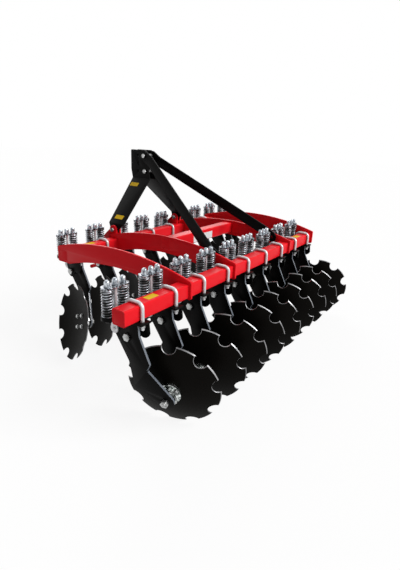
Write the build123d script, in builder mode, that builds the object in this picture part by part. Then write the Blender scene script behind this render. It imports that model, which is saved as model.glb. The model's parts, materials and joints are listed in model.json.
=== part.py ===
from build123d import *
import math
import os

# Three-point mounted disc harrow with two gangs of independently sprung discs.
# Millimetres. X points right, Y forward to the tractor, Z up; the floor is Z = 0.
# The rear gang throws its discs to the right of their arms, the front gang is its mirror image.

# --- gangs and main frame -------------------------------------------------------------------
units_per_gang = 9
disc_pitch = 250.0          # along each gang
rear_turns = (8, 3, 26, 17, 39, 12, 30, 27, 1)       # degrees that each disc happens to stand turned
front_turns = (14, 31, 5, 22, 37, 10, 28, 24, 22)
gang_spacing = 1000.0       # between the two gang beams
gang_middle_y = 65.77       # middle of the frame, so that the origin is under the box's middle
tube_size = 80.0            # square hollow section of the beams
tube_wall = 8.0
tube_corner = 10.0
end_cap = 6.0
first_unit_x = 1233.0       # clamp of each gang's outermost unit
beam_long_end = 1338.0      # a beam's end beyond its outermost unit
weld_fit = 0.3              # between a tube and the plate it passes through

# --- arched plates --------------------------------------------------------------------------
plate_thickness = 15.0
outer_plate_x = 857.5
inner_plate_x = 403.0
plate_overhang = 15.0       # past the beams' outer faces
plate_crown = 135.0         # top of the arch above the beams' axis
plate_end_top = 55.0
plate_hollow = 20.0         # underside of the arch above the beams' axis
plate_end_bottom = 46.0     # below the beams' axis
plate_foot = 62.0           # level stretch of the underside, measured from a beam's axis
cross_tube_y = 8.0          # from the frame's middle
cross_tube_z = 80.0

# --- disc, hub and their axis ---------------------------------------------------------------
disc_radius = 255.0
disc_dish = 55.0
disc_thickness = 5.0
disc_notches = 9
notch_radius = 37.0
notch_lip = 5.0             # from the rim in to the notch's centre
rim_bevel = 8.0
disc_yaw = 19.2             # of the axis, in plan
disc_tilt = 12.7            # of the axis, upwards
hub_flange_radius = 62.0
hub_flange = 12.0
hub_barrel_radius = 40.0
hub_rim_radius = 46.0
hub_bore_radius = 20.05
hub_bore_end_gap = 3.0
spindle_radius = 20.0
spindle_collar_radius = 34.0
spindle_collar = 10.0
hub_running_gap = 2.0
spindle_bolt_radius = 12.0
spindle_nut = 24.0
spindle_nut_radius = 21.0
spindle_thread = 4.0        # past the nut

# --- sprung arm -----------------------------------------------------------------------------
arm_thickness = 12.0
arm_x = -20.0               # middle of the upper arm, from its clamp
eye_point = (44.1, -158.2, -451.4)   # where the disc's axis crosses the arm, from clamp and beam axis
eye_radius = 46.0
bend_rear_z = -272.0        # ends of the arm's bend line
bend_front_z = -388.0
pivot_y = 24.0
pivot_z = -132.0
lever_y = 104.0
lever_z = -108.0
lever_radius = 25.0
arm_to_rim = 119.0          # from the arm's middle to the disc's rim plane, along the axis

# --- unit bracket, clamp and springs --------------------------------------------------------
saddle_thickness = 10.0
saddle_back = 74.0          # behind the beam's axis
saddle_left = -34.0
saddle_right = 32.0
cheek_thickness = 8.0
cheek_x = 18.0
boss_radius = 26.0
pivot_bolt_radius = 12.0
pivot_head_radius = 21.0
pivot_head = 13.0
u_bolt_radius = 8.0
u_bolt_bend = 18.0
u_bolt_tail = 82.0          # below the beam's axis
u_nut_radius = 14.0
u_nut = 16.0
hole_clearance = 0.5
pack_y = lever_y            # springs and rods, in front of the beam's axis
spring_side = 50.0          # from the arm's plane
spring_radius = 31.0
spring_wire = 10.0
spring_height = 136.0
spring_cup = 8.0            # raised seat under each spring
spring_facets = 12
seat_lobe = 34.0
yoke_lobe = 30.0
yoke_waist = 40.0
yoke_thickness = 10.0
rod_radius = 8.0
rod_cap_radius = 14.0
rod_cap = 34.0
rod_nut = 14.0
clevis_cheek = 8.0
clevis_fit = 1.0
clevis_radius = 24.0
clevis_height = 52.0
clevis_bridge = 12.0

# --- mast, stays and hitch ------------------------------------------------------------------
mast_thickness = 12.0
mast_gap = 56.0             # between the two mast plates
mast_front_y = 135.0        # from the front beam's axis
mast_back_y = -10.0
mast_top_z = 660.0          # above the beams' axis
mast_fold_z = 446.0
foot_fold_z = 140.0
foot_front_y = 82.0
foot_back_y = -63.0
foot_x = 368.5              # middle of the foot plates
foot_bolt_y = 28.0
foot_bolt_z = 95.0
foot_round = 38.0
link_hole_radius = 12.75
link_hole_y = 88.0
link_hole_z = (503.0, 560.0, 617.0)
mast_bolt_radius = 10.0
mast_bolt_y = 14.0
mast_bolt_z = (504.0, 617.0)
bolt_head_radius = 17.0
bolt_head = 12.0
stay_width = 74.0
stay_thickness = 12.0
stay_foot_y = 138.0         # from the rear beam's axis
stay_foot_z = 62.0
stay_tab = 70.0             # straight end before the stay bends outwards
lug_thickness = 15.0
inner_lug_x = 346.0
inner_lug_thickness = 12.0
outer_lug_x = 382.5
lug_head_radius = 34.0
hitch_pin_y = 190.0         # from the front beam's axis
hitch_pin_z = -205.0
hitch_pin_radius = 14.0
hitch_collar_radius = 24.0
hitch_collar_end = 412.5
hitch_pin_end = 480.0
pin_chamfer = 4.0
lug_nose_radius = 40.0

# --- places that follow from the sizes above ------------------------------------------------
half_tube = tube_size / 2
tube_fit = tube_size + 2 * weld_fit
axis_dir = Vector(
    math.cos(math.radians(disc_yaw)) * math.cos(math.radians(disc_tilt)),
    math.sin(math.radians(disc_yaw)) * math.cos(math.radians(disc_tilt)),
    math.sin(math.radians(disc_tilt)),
)
rim_centre = Vector(*eye_point) + axis_dir * arm_to_rim
notch_centre = disc_radius - notch_lip
rim_drop = disc_radius * math.cos(math.radians(disc_tilt))
beam_z = rim_drop - rim_centre.Z        # the lowest teeth stand on the floor
rear_y = gang_middle_y - gang_spacing / 2
front_y = gang_middle_y + gang_spacing / 2
beam_short_end = outer_plate_x + plate_thickness / 2
rear_spots = [(-first_unit_x + i * disc_pitch, rear_y, beam_z) for i in range(units_per_gang)]
front_spots = [(first_unit_x - i * disc_pitch, front_y, beam_z) for i in range(units_per_gang)]
seat_z = -half_tube             # top of the saddle, from the beam's axis
spring_foot = seat_z + spring_cup
spring_top = spring_foot + spring_height
arm_top_z = seat_z - saddle_thickness - 4
u_leg_y = half_tube + u_bolt_radius + weld_fit
rod_places = [(arm_x, pack_y), (arm_x - spring_side, pack_y), (arm_x + spring_side, pack_y)]
clevis_width = arm_thickness + 2 * clevis_fit + 2 * clevis_cheek
clevis_left = arm_x - clevis_width / 2
clevis_top = lever_z + clevis_height

os.makedirs("parts", exist_ok=True)


def save(builder, name):
    """Label a finished piece and write its STEP file."""
    builder.part.label = name
    export_step(builder.part, f"parts/{name}.step")


def save_units(master, name):
    """Copies of a unit's piece along the rear gang, and mirrored along the front gang."""
    with BuildPart() as mirrored:
        mirror(master.part, about=Plane.YZ)
    with BuildPart() as row:
        with Locations(*rear_spots):
            add(master.part)
        with Locations(*front_spots):
            add(mirrored.part)
    save(row, name)


# --- beams, cross tube and their caps -------------------------------------------------------
def make_tube(name, left, right, y, z):
    with BuildPart() as tube:
        with BuildSketch(Plane.YZ.offset(left)):
            with Locations((y, z)):
                RectangleRounded(tube_size, tube_size, tube_corner)
                RectangleRounded(
                    tube_size - 2 * tube_wall,
                    tube_size - 2 * tube_wall,
                    max(tube_corner - tube_wall, 0.5),
                    mode=Mode.SUBTRACT,
                )
        extrude(amount=right - left)
    save(tube, name)


tubes = [
    # name, left end, right end, y, z
    ("rear_beam", -beam_long_end, beam_short_end, rear_y, beam_z),
    ("front_beam", -beam_short_end, beam_long_end, front_y, beam_z),
    (
        "cross_tube",
        -inner_plate_x - plate_thickness / 2,
        inner_plate_x + plate_thickness / 2,
        gang_middle_y + cross_tube_y,
        beam_z + cross_tube_z,
    ),
]
for name, left, right, y, z in tubes:
    make_tube(name, left, right, y, z)

cap_size = tube_size - 2 * tube_wall - 2 * weld_fit
with BuildPart() as caps:
    for name, left, right, y, z in tubes:
        for cap_x in (left, right - end_cap):
            with BuildSketch(Plane.YZ.offset(cap_x)):
                with Locations((y, z)):
                    RectangleRounded(cap_size, cap_size, tube_corner / 4)
            extrude(amount=end_cap)
save(caps, "tube_end_caps")


# --- arched plates --------------------------------------------------------------------------
def make_plate(name, x, carries_cross_tube):
    reach = gang_spacing / 2 + half_tube + plate_overhang
    foot = gang_spacing / 2 - plate_foot
    with BuildPart() as plate:
        with BuildSketch(Plane.YZ.offset(x - plate_thickness / 2)) as outline:
            with Locations((gang_middle_y, beam_z)):
                with BuildSketch(mode=Mode.PRIVATE) as arch:
                    with BuildLine():
                        ThreePointArc((-reach, plate_end_top), (0, plate_crown), (reach, plate_end_top))
                        Polyline(
                            (reach, plate_end_top),
                            (reach, -plate_end_bottom),
                            (foot, -plate_end_bottom),
                        )
                        ThreePointArc(
                            (foot, -plate_end_bottom), (0, plate_hollow), (-foot, -plate_end_bottom)
                        )
                        Polyline(
                            (-foot, -plate_end_bottom),
                            (-reach, -plate_end_bottom),
                            (-reach, plate_end_top),
                        )
                    make_face()
                    fillet(arch.vertices().group_by(Axis.X)[0] + arch.vertices().group_by(Axis.X)[-1], 12)
                add(arch.sketch)
            with Locations((rear_y, beam_z), (front_y, beam_z)):
                RectangleRounded(tube_fit, tube_fit, tube_corner + weld_fit, mode=Mode.SUBTRACT)
            if carries_cross_tube:
                with Locations((gang_middle_y + cross_tube_y, beam_z + cross_tube_z)):
                    RectangleRounded(tube_fit, tube_fit, tube_corner + weld_fit, mode=Mode.SUBTRACT)
                with Locations((rear_y + stay_foot_y, beam_z + stay_foot_z)):
                    Circle(mast_bolt_radius + hole_clearance, mode=Mode.SUBTRACT)
        extrude(amount=plate_thickness)
    save(plate, name)


make_plate("arch_plate_left_outer", -outer_plate_x, False)
make_plate("arch_plate_left_inner", -inner_plate_x, True)
make_plate("arch_plate_right_inner", inner_plate_x, True)
make_plate("arch_plate_right_outer", outer_plate_x, False)


# --- discs with their hubs ------------------------------------------------------------------
# Drawn about their own axis: Z = 0 is the rim plane and the arm is at -arm_to_rim.
dish_radius = (disc_radius**2 + disc_dish**2) / (2 * disc_dish)
vertex = disc_dish + disc_thickness
hub_end = arm_to_rim - arm_thickness / 2 - spindle_collar - hub_running_gap
bore_end = vertex + hub_bore_end_gap


def dish_z(radius, r):
    """Height of a sphere about the dish's centre, at distance r from the axis."""
    return dish_radius - disc_dish - math.sqrt(radius**2 - r**2)


with BuildPart() as disc:
    with BuildSketch(Plane.XZ):
        with BuildLine():
            back_r = disc_radius - rim_bevel
            back_radius = dish_radius + disc_thickness
            ThreePointArc(
                (0, -disc_dish), (disc_radius / 2, dish_z(dish_radius, disc_radius / 2)), (disc_radius, 0)
            )
            Line((disc_radius, 0), (back_r, dish_z(back_radius, back_r)))
            ThreePointArc(
                (back_r, dish_z(back_radius, back_r)),
                (back_r / 2, dish_z(back_radius, back_r / 2)),
                (0, -vertex),
            )
            Line((0, -vertex), (0, -disc_dish))
        make_face()
    revolve(axis=Axis.Z)
    with BuildSketch(Plane.XY.offset(disc_thickness)):
        with PolarLocations(notch_centre, disc_notches):
            Circle(notch_radius)
    extrude(amount=-2 * disc_dish, mode=Mode.SUBTRACT)
    with BuildSketch(Plane.XZ):
        Polygon(
            (0, -disc_dish - disc_thickness / 3),
            (hub_flange_radius, -disc_dish - disc_thickness / 3),
            (hub_flange_radius, -vertex - hub_flange),
            (hub_barrel_radius, -vertex - hub_flange),
            (hub_barrel_radius, -hub_end + hub_flange),
            (hub_rim_radius, -hub_end + hub_flange),
            (hub_rim_radius, -hub_end),
            (hub_bore_radius, -hub_end),
            (hub_bore_radius, -bore_end),
            (0, -bore_end),
            align=None,
        )
    revolve(axis=Axis.Z)


def rim_plane(spot, side, turn=0):
    """Rim plane of a unit's disc, turned about its axis; side is 1 on the rear gang and -1 on the front gang."""
    centre = Vector(*spot) + Vector(side * rim_centre.X, rim_centre.Y, rim_centre.Z)
    outward = Vector(side * axis_dir.X, axis_dir.Y, axis_dir.Z)
    level = Vector(0, 0, 1).cross(outward).normalized()
    return Plane(centre, x_dir=level.rotate(Axis((0, 0, 0), outward), turn), z_dir=outward)


gangs = [
    # row, places of the units, how far their discs are turned, side
    ("rear", rear_spots, rear_turns, 1),
    ("front", front_spots, front_turns, -1),
]
for row, spots, turns, side in gangs:
    for number, (spot, turn) in enumerate(zip(spots, turns), 1):
        with BuildPart() as placed:
            with Locations(rim_plane(spot, side, turn)):
                add(disc.part)
        save(placed, f"disc_{row}_{number}")

# --- spindles -------------------------------------------------------------------------------
axis_plane = rim_plane((0, 0, 0), 1)
arm_back = arm_to_rim + arm_thickness / 2
with BuildPart(axis_plane) as spindle:
    with BuildSketch(axis_plane.offset(-arm_to_rim + arm_thickness / 2)):
        Circle(spindle_collar_radius)
    extrude(amount=spindle_collar)
    with BuildSketch(axis_plane.offset(-arm_to_rim + arm_thickness / 2)):
        Circle(spindle_radius)
    extrude(amount=arm_to_rim - arm_thickness / 2 - bore_end - 1)
    with BuildSketch(axis_plane.offset(-arm_back - spindle_nut - spindle_thread)):
        Circle(spindle_bolt_radius)
    extrude(amount=spindle_nut + spindle_thread + arm_thickness)
    with BuildSketch(axis_plane.offset(-arm_back - spindle_nut)):
        RegularPolygon(spindle_nut_radius, 6)
    extrude(amount=spindle_nut)
save_units(spindle, "disc_spindles")

# --- arms: a flat upper arm, bent so that its lower end faces along the disc's axis ----------
eye = Vector(*eye_point)
eye_plane = Plane(eye, x_dir=(0, -axis_dir.Z, axis_dir.Y), z_dir=axis_dir)


def bend_at(z):
    """Y of the bend line, where the upper arm's middle plane meets the lower end's."""
    return eye.Y - (axis_dir.Z * (z - eye.Z) + axis_dir.X * (arm_x - eye.X)) / axis_dir.Y


bend_rear = (bend_at(bend_rear_z), bend_rear_z)
bend_front = (bend_at(bend_front_z), bend_front_z)
with BuildPart() as arm:
    with BuildSketch(Plane.YZ.offset(arm_x - arm_thickness / 2)):
        with BuildLine():
            Polyline(
                bend_rear,
                (-115, -238),
                (-84, -178),
                (-48, -108),
                (-42, arm_top_z),
                (20, arm_top_z),
                (lever_y - 8, lever_z + lever_radius),
                (lever_y, lever_z + lever_radius),
            )
            ThreePointArc(
                (lever_y, lever_z + lever_radius),
                (lever_y + lever_radius, lever_z),
                (lever_y + 3, lever_z - lever_radius),
            )
            Polyline((lever_y + 3, lever_z - lever_radius), (18, -258), bend_front, bend_rear)
        make_face()
        for y, z, hole in ((pivot_y, pivot_z, pivot_bolt_radius), (lever_y, lever_z, rod_radius)):
            with Locations((y, z)):
                Circle(hole + hole_clearance, mode=Mode.SUBTRACT)
    extrude(amount=arm_thickness)
    with BuildSketch(eye_plane.offset(-arm_thickness / 2)):
        with BuildLine():
            Line(
                eye_plane.to_local_coords(Vector(arm_x, *bend_rear)),
                eye_plane.to_local_coords(Vector(arm_x, *bend_front)),
            )
            CenterArc((0, 0), eye_radius, 0, 360)
        make_hull()
    extrude(amount=arm_thickness)
    bend_dir = Vector(0, bend_front[0] - bend_rear[0], bend_front[1] - bend_rear[1])
    with BuildSketch(Plane(Vector(arm_x, *bend_rear), z_dir=bend_dir)):
        Circle(arm_thickness / 2)
    extrude(amount=bend_dir.length)
    with BuildSketch(eye_plane.offset(-arm_thickness)):
        Circle(spindle_bolt_radius + hole_clearance)
    extrude(amount=2 * arm_thickness, mode=Mode.SUBTRACT)
save_units(arm, "disc_arms")


# --- unit brackets: saddle under the beam with the springs' seat, and a cheek with the pivot boss
saddle_z = seat_z - saddle_thickness
with BuildPart() as bracket:
    with BuildSketch(Plane.XY.offset(saddle_z)) as saddle:
        with Locations(((saddle_left + saddle_right) / 2, (pack_y - saddle_back) / 2)):
            Rectangle(saddle_right - saddle_left, pack_y + saddle_back)
        with Locations((arm_x, pack_y)):
            Rectangle(2 * spring_side, 2 * seat_lobe)
        with Locations((arm_x - spring_side, pack_y), (arm_x + spring_side, pack_y)):
            Circle(seat_lobe)
        with Locations((0, u_leg_y), (0, -u_leg_y)):
            Circle(u_bolt_radius + hole_clearance, mode=Mode.SUBTRACT)
        with Locations(*rod_places):
            Circle(rod_radius + hole_clearance, mode=Mode.SUBTRACT)
    extrude(amount=saddle_thickness)
    with BuildSketch(Plane.XY.offset(seat_z)):
        with Locations(*rod_places[1:]):
            Circle(seat_lobe)
            Circle(rod_radius + hole_clearance, mode=Mode.SUBTRACT)
    extrude(amount=spring_cup)
    with BuildSketch(Plane.YZ.offset(cheek_x)) as cheek:
        with BuildLine():
            Polyline((-70, saddle_z), (60, saddle_z), (60, -110), (48, -152))
            ThreePointArc((48, -152), (pivot_y, pivot_z - 38), (-2, -152))
            Line((-2, -152), (-20, -128))
            ThreePointArc((-20, -128), (-50, -131), (-76, -102))
            Line((-76, -102), (-70, saddle_z))
        make_face()
    extrude(amount=cheek_thickness)
    with BuildSketch(Plane.YZ.offset(arm_x + arm_thickness / 2 + 1)):
        with Locations((pivot_y, pivot_z)):
            Circle(boss_radius)
    extrude(amount=cheek_x - arm_x - arm_thickness / 2 - 1)
    with BuildSketch(Plane.YZ.offset(arm_x)):
        with Locations((pivot_y, pivot_z)):
            Circle(pivot_bolt_radius + hole_clearance)
    extrude(amount=cheek_x - arm_x + 2 * cheek_thickness, mode=Mode.SUBTRACT)
save_units(bracket, "unit_brackets")

# --- pivot bolts ----------------------------------------------------------------------------
arm_left = arm_x - arm_thickness / 2
with BuildPart() as pivot_bolt:
    for x, length, radius, sides in (
        (arm_left - pivot_head, pivot_head, pivot_head_radius, 6),
        (arm_left, cheek_x + cheek_thickness - arm_left, pivot_bolt_radius, 0),
        (cheek_x + cheek_thickness, pivot_head, pivot_head_radius, 6),
    ):
        with BuildSketch(Plane.YZ.offset(x)):
            with Locations((pivot_y, pivot_z)):
                if sides:
                    RegularPolygon(radius, sides)
                else:
                    Circle(radius)
        extrude(amount=length)
save_units(pivot_bolt, "arm_pivot_bolts")

# --- clamps: a U-bolt over the beam with its nuts under the saddle --------------------------
with BuildPart() as u_bolt:
    with BuildLine(Plane.YZ) as u_path:
        FilletPolyline(
            (-u_leg_y, -u_bolt_tail),
            (-u_leg_y, u_leg_y),
            (u_leg_y, u_leg_y),
            (u_leg_y, -u_bolt_tail),
            radius=u_bolt_bend,
        )
    with BuildSketch(Plane.XY.offset(-u_bolt_tail)):
        with Locations((0, -u_leg_y)):
            Circle(u_bolt_radius)
    sweep(path=u_path.wire())
    with BuildSketch(Plane.XY.offset(saddle_z - u_nut)):
        with Locations((0, u_leg_y), (0, -u_leg_y)):
            RegularPolygon(u_nut_radius, 6)
    extrude(amount=u_nut)
save_units(u_bolt, "u_bolts")

# --- springs, their yoke and rods -----------------------------------------------------------
with BuildPart() as springs:
    with BuildSketch(Plane.XY.offset(spring_foot)):
        with Locations(*rod_places[1:]):
            RegularPolygon(spring_radius, spring_facets)
            RegularPolygon(spring_radius - spring_wire, spring_facets, mode=Mode.SUBTRACT)
    extrude(amount=spring_height)
save_units(springs, "springs")

with BuildPart() as yoke:
    with BuildSketch(Plane.XY.offset(spring_top)):
        with Locations((arm_x, pack_y)):
            Rectangle(2 * spring_side, yoke_waist)
        with Locations(*rod_places):
            Circle(yoke_lobe)
            Circle(rod_radius + hole_clearance, mode=Mode.SUBTRACT)
    extrude(amount=yoke_thickness)
save_units(yoke, "spring_yokes")

yoke_top = spring_top + yoke_thickness
with BuildPart() as rods:
    with BuildSketch(Plane.XY.offset(saddle_z - rod_nut)):
        with Locations(*rod_places[1:]):
            RegularPolygon(rod_cap_radius, 6)
    extrude(amount=rod_nut)
    with BuildSketch(Plane.XY.offset(saddle_z)):
        with Locations(*rod_places[1:]):
            Circle(rod_radius)
    extrude(amount=yoke_top - saddle_z)
    with BuildSketch(Plane.XY.offset(clevis_top - clevis_bridge)):
        with Locations(rod_places[0]):
            Circle(rod_radius)
    extrude(amount=yoke_top - clevis_top + clevis_bridge)
    with BuildSketch(Plane.XY.offset(yoke_top)):
        with Locations(*rod_places):
            Circle(rod_cap_radius)
    extrude(amount=rod_cap)
    with BuildSketch(Plane.YZ.offset(clevis_left)) as clevis:
        with BuildLine():
            CenterArc((lever_y, lever_z), clevis_radius, 0, 360)
        with BuildLine():
            Line((pack_y - rod_radius, clevis_top), (pack_y + rod_radius, clevis_top))
        make_hull()
    extrude(amount=clevis_width)
    with BuildSketch(Plane.YZ.offset(arm_left - clevis_fit)):
        with Locations((lever_y, clevis_top - clevis_bridge)):
            Rectangle(4 * lever_radius, 4 * lever_radius, align=(Align.CENTER, Align.MAX))
    extrude(amount=arm_thickness + 2 * clevis_fit, mode=Mode.SUBTRACT)
    with BuildSketch(Plane.YZ.offset(clevis_left - 8)):
        with Locations((lever_y, lever_z)):
            Circle(rod_radius)
    extrude(amount=clevis_width + 16)
save_units(rods, "spring_rods")


# --- hitch lugs over the front beam, and the lower hitch pins -------------------------------
# Profiles in (Y, Z) from the front beam's axis.
lug_fit = half_tube + weld_fit


def make_lugs(name, side):
    with BuildPart() as lugs:
        for x, thickness in ((outer_lug_x, lug_thickness), (inner_lug_x, inner_lug_thickness)):
            with BuildSketch(Plane.YZ.offset(side * x - thickness / 2)):
                with Locations((front_y, beam_z)):
                    with BuildSketch(mode=Mode.PRIVATE) as profile:
                        with BuildLine():
                            Polyline(
                                (foot_bolt_y - lug_head_radius, lug_fit),
                                (foot_bolt_y - lug_head_radius, foot_bolt_z),
                            )
                            ThreePointArc(
                                (foot_bolt_y - lug_head_radius, foot_bolt_z),
                                (foot_bolt_y, foot_bolt_z + lug_head_radius),
                                (foot_bolt_y + lug_head_radius, foot_bolt_z),
                            )
                            ThreePointArc(
                                (foot_bolt_y + lug_head_radius, foot_bolt_z),
                                (hitch_pin_y - 20, -20),
                                (hitch_pin_y + lug_nose_radius, hitch_pin_z),
                            )
                            ThreePointArc(
                                (hitch_pin_y + lug_nose_radius, hitch_pin_z),
                                (hitch_pin_y, hitch_pin_z - lug_nose_radius),
                                (hitch_pin_y - lug_nose_radius, hitch_pin_z),
                            )
                            ThreePointArc(
                                (hitch_pin_y - lug_nose_radius, hitch_pin_z),
                                (hitch_pin_y - 62, -135),
                                (lug_fit, -75),
                            )
                            Polyline(
                                (lug_fit, -75), (lug_fit, lug_fit), (foot_bolt_y - lug_head_radius, lug_fit)
                            )
                        make_face()
                        for y, z, hole in (
                            (foot_bolt_y, foot_bolt_z, mast_bolt_radius + hole_clearance),
                            (hitch_pin_y, hitch_pin_z, hitch_pin_radius + hole_clearance / 2),
                        ):
                            with Locations((y, z)):
                                Circle(hole, mode=Mode.SUBTRACT)
                    add(profile.sketch)
            extrude(amount=thickness)
    save(lugs, name)


def make_pin(name, side):
    start = inner_lug_x - inner_lug_thickness / 2 - hitch_collar_radius / 2
    with BuildPart() as pin:
        with BuildSketch(Plane.YZ.offset(side * start)):
            with Locations((front_y + hitch_pin_y, beam_z + hitch_pin_z)):
                Circle(hitch_pin_radius)
        extrude(amount=side * (hitch_pin_end - start))
        chamfer(pin.edges().filter_by(GeomType.CIRCLE).sort_by(Axis.X)[-1 if side > 0 else 0], pin_chamfer)
        with BuildSketch(Plane.YZ.offset(side * (outer_lug_x + lug_thickness / 2))):
            with Locations((front_y + hitch_pin_y, beam_z + hitch_pin_z)):
                Circle(hitch_collar_radius)
        extrude(amount=side * (hitch_collar_end - outer_lug_x - lug_thickness / 2))
        with BuildSketch(Plane.YZ.offset(side * start)):
            with Locations((front_y + hitch_pin_y, beam_z + hitch_pin_z)):
                Circle(hitch_collar_radius)
        extrude(amount=side * hitch_collar_radius / 2)
    save(pin, name)


for side, word in ((-1, "left"), (1, "right")):
    make_lugs(f"hitch_lugs_{word}", side)
    make_pin(f"hitch_pin_{word}", side)

# --- mast: two plates, folded outwards below the upper link and upright again at their feet --
mast_x = mast_gap / 2 + mast_thickness / 2
leg_top = Vector(mast_x, 0, beam_z + mast_fold_z)
leg_foot = Vector(foot_x, 0, beam_z + foot_fold_z)


def fold_section(centre, back):
    """Section of the round fold between two flats of a bent plate, to be extruded along Y."""
    with BuildSketch(Plane(Vector(centre.X, front_y + back, centre.Z), z_dir=(0, 1, 0))) as section:
        Circle(mast_thickness / 2)
    return section.sketch


with BuildPart() as mast:
    with BuildSketch(Plane.YZ.offset(mast_gap / 2)) as head:
        with Locations((front_y, beam_z)):
            with BuildSketch(mode=Mode.PRIVATE) as head_profile:
                Polygon(
                    (mast_back_y, mast_fold_z),
                    (mast_front_y, mast_fold_z),
                    (mast_front_y, mast_top_z),
                    (mast_back_y, mast_top_z),
                    align=None,
                )
                fillet(head_profile.vertices().group_by(Axis.Y)[-1], 10)
                for z in link_hole_z:
                    with Locations((link_hole_y, z)):
                        Circle(link_hole_radius, mode=Mode.SUBTRACT)
                for z in mast_bolt_z:
                    with Locations((mast_bolt_y, z)):
                        Circle(mast_bolt_radius + hole_clearance, mode=Mode.SUBTRACT)
            add(head_profile.sketch)
    extrude(amount=mast_thickness)
    leg_dir = (leg_foot - leg_top).normalized()
    leg_face = Vector(0, 1, 0).cross(leg_dir)
    leg_plane = Plane(leg_top + Vector(0, front_y, 0), x_dir=(0, 1, 0), z_dir=leg_face)
    leg_length = (leg_foot - leg_top).length
    down = 1 if leg_plane.y_dir.dot(leg_dir) > 0 else -1
    with BuildSketch(leg_plane.offset(-mast_thickness / 2)):
        Polygon(
            (mast_back_y, 0),
            (mast_front_y, 0),
            (foot_front_y, down * leg_length),
            (foot_back_y, down * leg_length),
            align=None,
        )
    extrude(amount=mast_thickness)
    extrude(fold_section(leg_top, mast_back_y), amount=mast_front_y - mast_back_y)
    extrude(fold_section(leg_foot, foot_back_y), amount=foot_front_y - foot_back_y)
    with BuildSketch(Plane.YZ.offset(foot_x - mast_thickness / 2)) as foot:
        with Locations((front_y, beam_z)):
            with BuildSketch(mode=Mode.PRIVATE) as foot_profile:
                with BuildLine():
                    Polyline(
                        (foot_bolt_y - foot_round, foot_bolt_z),
                        (foot_back_y, foot_fold_z),
                        (foot_front_y, foot_fold_z),
                        (foot_bolt_y + foot_round, foot_bolt_z),
                    )
                    ThreePointArc(
                        (foot_bolt_y + foot_round, foot_bolt_z),
                        (foot_bolt_y, foot_bolt_z - foot_round),
                        (foot_bolt_y - foot_round, foot_bolt_z),
                    )
                make_face()
                with Locations((foot_bolt_y, foot_bolt_z)):
                    Circle(mast_bolt_radius + hole_clearance, mode=Mode.SUBTRACT)
            add(foot_profile.sketch)
    extrude(amount=mast_thickness)
save(mast, "mast_plate_right")

with BuildPart() as mast_left:
    mirror(mast.part, about=Plane.YZ)
save(mast_left, "mast_plate_left")

# --- stays from the mast's head back to the inner plates ------------------------------------
stay_x = mast_gap / 2 - stay_thickness / 2
stay_top = Vector(stay_x, front_y + mast_bolt_y, beam_z + mast_bolt_z[1])
stay_foot_x = inner_plate_x - plate_thickness / 2 - stay_thickness / 2
stay_foot = Vector(stay_foot_x, rear_y + stay_foot_y, beam_z + stay_foot_z)
run = Vector(0, stay_foot.Y - stay_top.Y, stay_foot.Z - stay_top.Z).normalized()
bend_top = stay_top + run * stay_tab
bend_foot = stay_foot - run * stay_tab
middle_dir = (bend_foot - bend_top).normalized()
across = Vector(1, 0, 0).cross(run)


def flat_bar(start, along, length, face):
    """Outline of a length of flat bar from start; face is the normal of its wide side."""
    plane = Plane(start - face * (stay_thickness / 2), x_dir=along, z_dir=face)
    with BuildSketch(plane) as outline:
        Rectangle(length, stay_width, align=(Align.MIN, Align.CENTER))
    return outline.sketch


with BuildPart() as stay:
    for end, along, bend in ((stay_top, run, bend_top), (stay_foot, -run, bend_foot)):
        extrude(flat_bar(end, along, stay_tab, Vector(1, 0, 0)), amount=stay_thickness)
        with BuildSketch(Plane(end - Vector(stay_thickness / 2, 0, 0), x_dir=run, z_dir=(1, 0, 0))):
            Circle(stay_width / 2)
        extrude(amount=stay_thickness)
        with BuildSketch(Plane(bend - across * (stay_width / 2), z_dir=across)):
            Circle(stay_thickness / 2)
        extrude(amount=stay_width)
    middle_length = (bend_foot - bend_top).length
    extrude(flat_bar(bend_top, middle_dir, middle_length, across.cross(middle_dir)), amount=stay_thickness)
    for end in (stay_top, stay_foot):
        with BuildSketch(Plane(end - Vector(stay_thickness, 0, 0), x_dir=run, z_dir=(1, 0, 0))):
            Circle(mast_bolt_radius + hole_clearance)
        extrude(amount=2 * stay_thickness, mode=Mode.SUBTRACT)
save(stay, "stay_right")

with BuildPart() as stay_left:
    mirror(stay.part, about=Plane.YZ)
save(stay_left, "stay_left")

# --- spacers between the mast plates, and the frame's bolts ---------------------------------
with BuildPart() as spacers:
    for half, z in ((mast_gap / 2, mast_bolt_z[0]), (mast_gap / 2 - stay_thickness, mast_bolt_z[1])):
        with BuildSketch(Plane.YZ):
            with Locations((front_y + mast_bolt_y, beam_z + z)):
                Circle(mast_bolt_radius + 6)
                Circle(mast_bolt_radius + hole_clearance, mode=Mode.SUBTRACT)
        extrude(amount=half - weld_fit, both=True)
save(spacers, "mast_spacers")

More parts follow.
